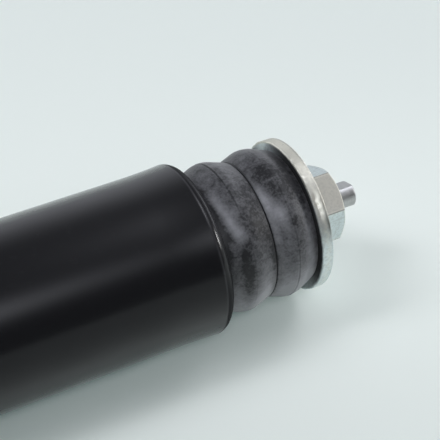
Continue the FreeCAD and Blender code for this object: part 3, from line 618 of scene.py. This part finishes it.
def makeEyeWeld():
    # fillet between the cap's face and the eye: from a circle on the cap to a curve on the eye, bulging
    face, sunk = station("base_cap", 0), beads["eyeSunk"]
    angles = np.linspace(0, 2 * np.pi, beads["eyeColumns"], endpoint=False)[None, :]
    share = np.linspace(0, 1, beads["eyeRows"])[:, None]
    wander = beads["wander"] * waves(angles, 71, 2, 9)
    capRadius = beads["capRadius"] + wander
    eyeRadius = beads["eyeRadius"] - beads["eyeNarrow"] * np.sin(angles) ** 2 + wander / 2
    eyeX = np.sqrt(lower["eye"] ** 2 - (eyeRadius * np.sin(angles)) ** 2) - sunk
    phase = angles * beads["eyeRipples"] / 2 + beads["bow"] * (2 * share - 1) ** 2
    ripple = np.abs(np.sin(phase + beads["eyeStray"] * waves(angles, 72, 1, 5))) - beads["eyeRest"]
    bulge = 4 * share * (1 - share) * (beads["bulge"] + beads["rippleDepth"] * ripple)
    radius = capRadius + (eyeRadius - capRadius) * share + beads["bulgeOut"] * bulge
    along = face + sunk + (eyeX - face - sunk) * share - beads["bulgeBack"] * bulge
    inside = np.array([(face - sunk, beads["capInside"]), (face + sunk, beads["capInside"])])
    inside = np.repeat(inside[:, None, :], beads["eyeColumns"], 1)
    grid = np.concatenate([np.stack([along, radius], -1), inside])[::-1]
    piece = gridPiece("eye_weld_bead", aroundAxis(grid, angles), values=dict(edge=0.0), sharp=60.0)
    finishPiece(piece, "reservoir", "black_paint", "eye_weld")


def makeSpring(node, body):
    # merged copy of the imported spring, which stands in for it
    mesh = nodes[node].data.copy()
    mergePoints(mesh)
    piece = addObject(node + "_fingers", mesh)
    finishPiece(piece, body, "spring_steel", node)
    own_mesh(piece)


makeSpring("intake_spring", "reservoir")
makeSpring("bypass_spring", "rod")
makeCover()
makeCushions()
makeWasher()
makeNut()
makeRod()
makeTube()
makeEye()
makeBaseWeld()
makeEyeWeld()
print("pieces made")


def feed(value, socket):
    # a node's output is linked to the socket, and a plain value is set on it; a colour gets its alpha
    if hasattr(value, "is_output"):
        socket.id_data.links.new(value, socket)
    else:
        socket.default_value = (*value, 1.0) if socket.type == "RGBA" else value


def put(tree, kind, inputs=None, **settings):
    # new node: its settings first, then its inputs by name or number
    node = tree.nodes.new(kind)
    for key, value in settings.items():
        setattr(node, key, value)
    for key, value in (inputs or {}).items():
        feed(value, node.inputs[key])
    return node


def maths(operation, a, b=0.5, c=0.5, clamp=False):
    # one operation, in the tree of a or else of b, whichever is a node's output
    tree = (a if hasattr(a, "is_output") else b).id_data
    return put(tree, "ShaderNodeMath", {0: a, 1: b, 2: c}, operation=operation, use_clamp=clamp).outputs[0]


def plus(a, b, clamp=False):
    return maths("ADD", a, b, clamp=clamp)


def minus(a, b):
    return maths("SUBTRACT", a, b)


def times(a, b):
    return maths("MULTIPLY", a, b)


def spread(value, low, high, toLow=0.0, toHigh=1.0):
    # smooth step from one range to another
    ranges = {"Value": value, "From Min": low, "From Max": high, "To Min": toLow, "To Max": toHigh}
    return put(value.id_data, "ShaderNodeMapRange", ranges, interpolation_type="SMOOTHSTEP").outputs[0]


def past(value, amount, soft):
    # smooth step at 1 - amount, so that a larger amount lets more through
    start = minus(1.0, amount)
    return spread(value, minus(start, soft), plus(start, soft))


def mixColour(share, a, b):
    # a where the share is 0, b where it is 1
    return put(share.id_data, "ShaderNodeMix", {0: share, 6: a, 7: b}, data_type="RGBA").outputs[2]


def component(vector, way):
    # dot product of a vector with a fixed direction
    both = {0: vector, 1: tuple(way)}
    return put(vector.id_data, "ShaderNodeVectorMath", both, operation="DOT_PRODUCT").outputs["Value"]


def noiseAt(where, scale, detail, **more):
    # layered noise, about 0.5 on average
    inputs = {"Vector": where, "Scale": scale, "Detail": detail, **more}
    return put(where.id_data, "ShaderNodeTexNoise", inputs).outputs[0]


def meshValue(tree, name):
    # value that a piece keeps at its points, and 0 where it has none
    return put(tree, "ShaderNodeAttribute", attribute_name=name).outputs["Fac"]


def startGroup(name, output, **inputs):
    # group with one value out; an input that starts as three numbers is a vector, the others are values
    tree = bpy.data.node_groups.new(name, "ShaderNodeTree")
    for key, value in inputs.items():
        kind = "NodeSocketVector" if isinstance(value, tuple) else "NodeSocketFloat"
        tree.interface.new_socket(key, in_out="INPUT", socket_type=kind).default_value = value
    tree.interface.new_socket(output, in_out="OUTPUT", socket_type="NodeSocketFloat")
    result = tree.nodes.new("NodeGroupOutput").inputs[output]
    place = put(tree, "ShaderNodeTexCoord").outputs
    return tree, tree.nodes.new("NodeGroupInput").outputs, place, result


def makeGrain():
    # noise over the surface, stretched by a scale along each axis, in waves per metre
    tree, given, place, result = startGroup(
        "grain", "Value", Scale=(500, 500, 500), Detail=3.0, Distortion=0.0)
    scaled = put(tree, "ShaderNodeVectorMath", {0: place["Object"], 1: given["Scale"]}, operation="MULTIPLY")
    feed(noiseAt(scaled.outputs[0], 1.0, given["Detail"], Distortion=given["Distortion"]), result)
    return tree


def makeDust(fineScale=9.0, fineShare=0.35, lift=0.3, soft=0.16):
    # patches: broad noise + fine noise + a lift where the surface faces up, past a level from the cover
    tree, given, place, result = startGroup("dust", "Mask", Scale=200.0, Cover=0.5, Upward=0.5)
    broad = noiseAt(place["Object"], given["Scale"], 4.0, Roughness=0.62)
    fine = noiseAt(place["Object"], times(given["Scale"], fineScale), 2.0)
    up = component(place["Normal"], (0, 0, 1))
    level = plus(broad, times(up, times(given["Upward"], lift)))
    level = plus(level, times(minus(fine, 0.5), fineShare))
    feed(past(level, given["Cover"], soft), result)
    return tree


def makeWearAndHighlight(soft=0.12):
    # the mesh's edge value, times noise past a level from the amount; on the cover and the washer the
    # edge value also holds painted highlights
    tree, given, place, result = startGroup("edgeWearAndHighlight", "Mask", Scale=900.0, Amount=0.5)
    noise = noiseAt(place["Object"], given["Scale"], 4.0)
    feed(times(meshValue(tree, "edge"), past(noise, given["Amount"], soft)), result)
    return tree


grain, dust, edgeWearAndHighlight = makeGrain(), makeDust(), makeWearAndHighlight()
noiseRange = (0.3, 0.7)  # where most of a noise lies


def group(tree, which, **inputs):
    # one of the three groups, with its own inputs
    return put(tree, "ShaderNodeGroup", inputs, node_tree=which).outputs[0]


def startMaterial(name, fixed):
    # surface shader with the values that are the same all over it
    material = bpy.data.materials.new(name)
    material.use_nodes = True
    tree = material.node_tree
    tree.nodes.clear()
    shader = put(tree, "ShaderNodeBsdfPrincipled", fixed)
    put(tree, "ShaderNodeOutputMaterial", {"Surface": shader.outputs[0]})
    return material, tree, shader.inputs


def raised(surface, height, strength, millimetres):
    # relief from a height value, without moving the surface
    relief = {"Height": height, "Strength": strength, "Distance": millimetres * mm}
    feed(put(height.id_data, "ShaderNodeBump", relief).outputs[0], surface["Normal"])


# Black paint: dark base under a clear coat, with a faint orange peel, thin dust and rubbed edges;
# its lighter lines on the cover's crease and lip are painted highlights
paint = dict(
    base=(0.0042, 0.0042, 0.0054), wearAndHighlight=(0.12, 0.12, 0.125), dusty=(0.10, 0.105, 0.105),
    roughness=(0.38, 0.46), matte=0.85, gloss=(1.0, 0.93), dustShare=0.05, dustDull=0.12, wearAndHighlightShare=0.24,
    peel=(420, 420, 420), peelStrength=0.25, peelHeight=0.006)


def makePaint():
    # colour = base, then dust and rubbed edges, with painted highlight lines, by their masks; the mesh's
    # matt value roughens it and takes its coat away
    material, tree, surface = startMaterial("blackPaint", {
        "Specular IOR Level": 0.12, "Coat Roughness": 0.2})
    mottle = group(tree, grain, Scale=(60, 90, 90), Detail=4.0)
    specks = group(tree, dust, Scale=420.0, Cover=0.2, Upward=0.3)
    wearAndHighlight = group(tree, edgeWearAndHighlight, Scale=700.0, Amount=0.72)
    matte = meshValue(tree, "matte")
    base = mixColour(times(specks, paint["dustShare"]), paint["base"], paint["dusty"])
    feed(mixColour(times(wearAndHighlight, paint["wearAndHighlightShare"]), base, paint["wearAndHighlight"]), surface["Base Color"])
    smooth = spread(mottle, *noiseRange, *paint["roughness"])
    feed(plus(smooth, times(matte, minus(paint["matte"], smooth))), surface["Roughness"])
    gloss = minus(spread(mottle, *noiseRange, *paint["gloss"]), times(specks, paint["dustDull"]))
    feed(times(gloss, minus(1.0, matte)), surface["Coat Weight"])
    peel = group(tree, grain, Scale=paint["peel"], Detail=2.0)
    raised(surface, peel, paint["peelStrength"], paint["peelHeight"])
    return material


# Cushion rubber: dark, with a pale bloom that lies in the mesh's spots and in clouds between them;
# some spots are painted light and painted shade
rubber = dict(
    base=(0.007, 0.007, 0.0085), paler=(0.0235, 0.0235, 0.0255), bloom=(0.295, 0.295, 0.308),
    roughness=(0.5, 0.72), start=0.15, clouds=0.65, mottle=0.6, fine=0.4, spotSkin=0.6,
    skinRange=(0.8, 1.2), relief=0.35, reliefHeight=0.08)


def makeCushionRubber():
    # pale share = start + spots + each noise's distance from its middle * amount, the spots being
    # bloom and painted light and shade; the skin under it is uneven
    material, tree, surface = startMaterial("cushionRubber", {
        "Specular IOR Level": 0.45, "Sheen Weight": 0.2, "Sheen Roughness": 0.4})
    clouds = group(tree, grain, Scale=(170, 120, 120), Detail=5.0, Distortion=0.3)
    mottle = group(tree, grain, Scale=(460, 520, 520), Detail=5.0, Distortion=0.6)
    fine = group(tree, grain, Scale=(1700, 1700, 1700), Detail=3.0)
    spots = meshValue(tree, "bloom")
    level = spots
    for noise, amount in ((clouds, rubber["clouds"]), (mottle, rubber["mottle"]), (fine, rubber["fine"])):
        level = plus(level, times(minus(noise, 0.5), amount))
    bloom = plus(level, rubber["start"], clamp=True)
    uneven = plus(plus(mottle, fine), times(spots, rubber["spotSkin"]))
    skin = mixColour(spread(uneven, *rubber["skinRange"]), rubber["base"], rubber["paler"])
    feed(mixColour(bloom, skin, rubber["bloom"]), surface["Base Color"])
    feed(spread(bloom, 0.0, 1.0, *rubber["roughness"]), surface["Roughness"])
    raised(surface, plus(fine, mottle), rubber["relief"], rubber["reliefHeight"])
    return material


# Zinc plate: satin metal, cool, with a painted warm reflection where the mesh's value says, pale worn
# edges and painted highlights, painted shade lines and a painted shade on the washer's cushion side
zinc = dict(
    warm=(0.53, 0.51, 0.445), cool=(0.70, 0.77, 0.775), dull=(0.40, 0.395, 0.365),
    paleWearAndHighlight=(0.95, 0.93, 0.81), smear=(0.012, 0.012, 0.0125), grime=(0.16, 0.16, 0.15),
    roughness=(0.40, 0.54), paintedShadeRough=0.3, drift=0.4, markRange=(0.4, 0.7), dullShare=0.3, lineShare=0.08,
    wearAndHighlightShare=0.9, paintedDarkLineShare=0.8, relief=0.25, reliefHeight=0.03, tornRelief=5.0)


def makeZinc():
    # colour = cool to a painted warm reflection, then dull flecks, cut lines, worn edges and painted
    # highlights, painted shade lines and a painted shade, each by its own mask
    material, tree, surface = startMaterial("zincPlate", {})
    broad = group(tree, grain, Scale=(120, 120, 120), Detail=4.0)
    fine = group(tree, grain, Scale=(1500, 1500, 1500), Detail=3.0)
    marks = group(tree, grain, Scale=(260, 2400, 2400), Detail=3.0)
    rough = group(tree, grain, Scale=(1100, 1100, 1100))
    wearAndHighlight = group(tree, edgeWearAndHighlight, Scale=800.0, Amount=0.72)
    smear, warm, cut, grime = (meshValue(tree, name) for name in ("smear", "warm", "cut", "grime"))
    paintedReflectionAndDrift = plus(warm, times(minus(broad, 0.5), zinc["drift"]), clamp=True)
    base = mixColour(paintedReflectionAndDrift, zinc["cool"], zinc["warm"])
    flecks = spread(fine, *zinc["markRange"])
    lines = times(cut, spread(marks, *zinc["markRange"]))
    for mask, share, name in ((flecks, "dullShare", "dull"), (lines, "lineShare", "paleWearAndHighlight"),
                              (wearAndHighlight, "wearAndHighlightShare", "paleWearAndHighlight"), (grime, "paintedDarkLineShare", "grime")):
        base = mixColour(times(mask, zinc[share]), base, zinc[name])
    # the painted shade is a dark colour that is no metal, and rougher
    feed(mixColour(smear, base, zinc["smear"]), surface["Base Color"])
    feed(minus(1.0, smear), surface["Metallic"])
    satin = spread(fine, *noiseRange, *zinc["roughness"])
    feed(plus(satin, times(smear, zinc["paintedShadeRough"])), surface["Roughness"])
    torn = times(times(times(cut, wearAndHighlight), rough), zinc["tornRelief"])
    raised(surface, plus(plus(times(marks, cut), fine), torn), zinc["relief"], zinc["reliefHeight"])
    return material


# Plainer finishes: base and other colour, metal or not, roughness range, grain scale and relief's height
finishes = dict(
    bush_rubber=((0.018, 0.018, 0.019), (0.055, 0.055, 0.056), 0.0, (0.6, 0.8), (700, 500, 700), 0.04),
    rod_steel=((0.47, 0.47, 0.465), (0.59, 0.59, 0.585), 1.0, (0.14, 0.22), (1500, 160, 160), 0.006),
    plain_steel=((0.50, 0.51, 0.52), (0.62, 0.63, 0.63), 1.0, (0.28, 0.42), (1400, 200, 200), 0.01),
    spring_steel=((0.30, 0.32, 0.37), (0.46, 0.45, 0.44), 1.0, (0.25, 0.4), (300, 700, 700), 0.006),
    sintered_iron=((0.19, 0.19, 0.20), (0.33, 0.33, 0.33), 1.0, (0.5, 0.68), (1800, 1800, 1800), 0.03),
    bearing_bronze=((0.52, 0.35, 0.19), (0.67, 0.49, 0.29), 1.0, (0.3, 0.45), (900, 300, 300), 0.01),
    seal_rubber=((0.015, 0.015, 0.015), (0.035, 0.035, 0.036), 0.0, (0.42, 0.6), (900, 900, 900), 0.02),
    ring_plastic=((0.13, 0.12, 0.11), (0.20, 0.19, 0.17), 0.0, (0.45, 0.6), (1200, 300, 300), 0.01),
    bump_foam=((0.62, 0.53, 0.31), (0.80, 0.71, 0.48), 0.0, (0.7, 0.9), (1300, 1300, 1300), 0.06))
blend = dict(broadScale=(90, 90, 90), fineShare=0.5, colourRange=(0.36, 0.64), relief=0.4, dull=0.26)


def makeFinish(name, base, other, metal, roughness, scale, height):
    # colour from base to other by fine and broad noise; roughness by the fine one and the mesh's dull value
    material, tree, surface = startMaterial(name, {"Metallic": metal})
    fine = group(tree, grain, Scale=scale, Detail=4.0)
    broad = group(tree, grain, Scale=blend["broadScale"], Detail=3.0)
    both = plus(times(fine, blend["fineShare"]), times(broad, 1 - blend["fineShare"]))
    feed(mixColour(spread(both, *blend["colourRange"]), base, other), surface["Base Color"])
    satin = spread(fine, *noiseRange, *roughness)
    feed(plus(satin, times(meshValue(tree, "dull"), blend["dull"])), surface["Roughness"])
    raised(surface, fine, blend["relief"], height)
    return material


materials = {name: makeFinish(name, *finish) for name, finish in finishes.items()}
materials["black_paint"] = makePaint()
materials["cushion_rubber"] = makeCushionRubber()
materials["zinc_plate"] = makeZinc()
dressed = [(nodes[entry["node"]], entry["material_slot"]) for entry in frame["record"]["subparts"]]
dressed += [(piece, piece["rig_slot"]) for piece in madePieces]
for piece, slot in dressed:
    piece.data.materials.clear()
    piece.data.materials.append(materials[slot])
print("materials made")


# Table: pale sheet under the object, with a painted glow of its own that lightens and tints its
# shade, and a painted falloff of light that leaves it paler past the seat; sizes in metres
table = dict(
    size=6.0, points=9, near=(0.87, 0.882, 0.82), far=(0.93, 0.945, 0.88), reach=(-0.06, 0.08),
    light=(0.15, 0.83, 0.82), glow=0.045)


def makeTable():
    # flat grid at the height that the object rests on; its colour goes from near to far past the seat,
    # a painted falloff of light
    spots = np.linspace(-table["size"] / 2, table["size"] / 2, table["points"]) / mm
    across, along = np.meshgrid(spots, spots)
    points = np.stack([across, along, np.full_like(across, tableZ / mm)], -1)
    plate = gridPiece("table", points, closedRows=False, closedColumns=False)
    material, tree, surface = startMaterial("tablePlate", {
        "Specular IOR Level": 0.0, "Emission Color": table["light"], "Emission Strength": table["glow"]})
    where = put(tree, "ShaderNodeTexCoord").outputs["Object"]
    start, end = (seat * mm * cameraLevel.x + reach for reach in table["reach"])
    share = spread(component(where, cameraLevel), start, end)
    feed(mixColour(share, table["near"], table["far"]), surface["Base Color"])
    plate.data.materials.append(material)


# Lamp that gives the short glint on the cover's shoulder: bearing clockwise from straight ahead, height,
# slant and beam in degrees, distance and size in metres
glint = dict(bearing=78.0, height=16.0, slant=-45.0, distance=1.0, size=(0.03, 0.24), beam=16.0, power=0.026)


def makeGlint():
    # lamp stands at the stem plus distance times its direction, and faces back along it
    aim = Vector((seat, 0, 0)) * mm
    bearing, height = np.radians(glint["bearing"]), np.radians(glint["height"])
    way = (cameraRight * np.sin(bearing) + cameraLevel * np.cos(bearing)) * np.cos(height)
    way = way + Vector((0, 0, np.sin(height)))
    light = bpy.data.lights.new("glint", "AREA")
    light.shape = "RECTANGLE"
    light.size, light.size_y = glint["size"]
    light.spread = np.radians(glint["beam"])
    light.energy = glint["power"]
    facing = way.to_track_quat("Z", "Y").to_matrix().to_4x4()
    slanted = facing @ Matrix.Rotation(np.radians(glint["slant"]), 4, "Z")
    addObject("glint", light).matrix_world = Matrix.Translation(aim + way * glint["distance"]) @ slanted


# Surroundings: pale to the camera, and lit by soft glows
sky = dict(background=(0.72, 0.79, 0.78), tint=(0.95, 0.98, 1.06))
# Each glow has a level, then in degrees its bearing, its height, and its spread across and up
glows = dict(
    key=(11.3, 260.0, 54.0, 12.0, 13.5), fill=(8.0, 172.0, 49.0, 13.5, 7.0),
    window=(6.6, 58.0, 52.5, 23.0, 10.2), back=(0.72, 352.0, 16.0, 32.0, 30.0),
    left=(6.5, 296.0, 4.0, 14.5, 7.3), front=(2.6, 155.0, 50.0, 20.0, 11.0),
    room=(0.2, 60.0, 66.0, 75.0, 14.0), low=(5.5, 38.0, 5.5, 21.0, 9.0))
darkSide = (0.85, 107.0, -7.0, 31.0, 18.5)  # takes this share of the light away


def makeGlow(bearing, height, glow):
    # level * exp(-(turn / across) squared - (rise / tall) squared)
    level, (centre, middle, across, tall) = glow[0], (np.radians(part) for part in glow[1:])
    turn = maths("WRAP", minus(bearing, centre), np.pi, -np.pi)
    wide = maths("POWER", maths("DIVIDE", turn, across), 2.0)
    high = maths("POWER", maths("DIVIDE", minus(height, middle), tall), 2.0)
    return times(maths("EXPONENT", times(plus(wide, high), -1.0)), level)


def makeSky():
    # light = sum of the glows * (1 - the dark side), by the bearing and height of a ray
    scene.world = bpy.data.worlds.new("studio")
    scene.world.use_nodes = True
    tree = scene.world.node_tree
    tree.nodes.clear()
    way = put(tree, "ShaderNodeTexCoord").outputs["Generated"]
    height = maths("ARCSINE", component(way, (0, 0, 1)))
    bearing = maths("ARCTAN2", component(way, cameraRight), component(way, cameraLevel))
    light = 0.0
    for glow in glows.values():
        light = plus(light, makeGlow(bearing, height, glow))
    light = times(light, minus(1.0, makeGlow(bearing, height, darkSide)))
    lit = put(tree, "ShaderNodeBackground", {"Color": sky["tint"], "Strength": light})
    seen = put(tree, "ShaderNodeBackground", {"Color": sky["background"], "Strength": 1.0})
    isCamera = put(tree, "ShaderNodeLightPath").outputs["Is Camera Ray"]
    both = put(tree, "ShaderNodeMixShader", {0: isCamera, 1: lit.outputs[0], 2: seen.outputs[0]})
    put(tree, "ShaderNodeOutputWorld", {"Surface": both.outputs[0]})


makeTable()
makeGlint()
makeSky()
print("table and lights made")

bpy.context.view_layer.update()
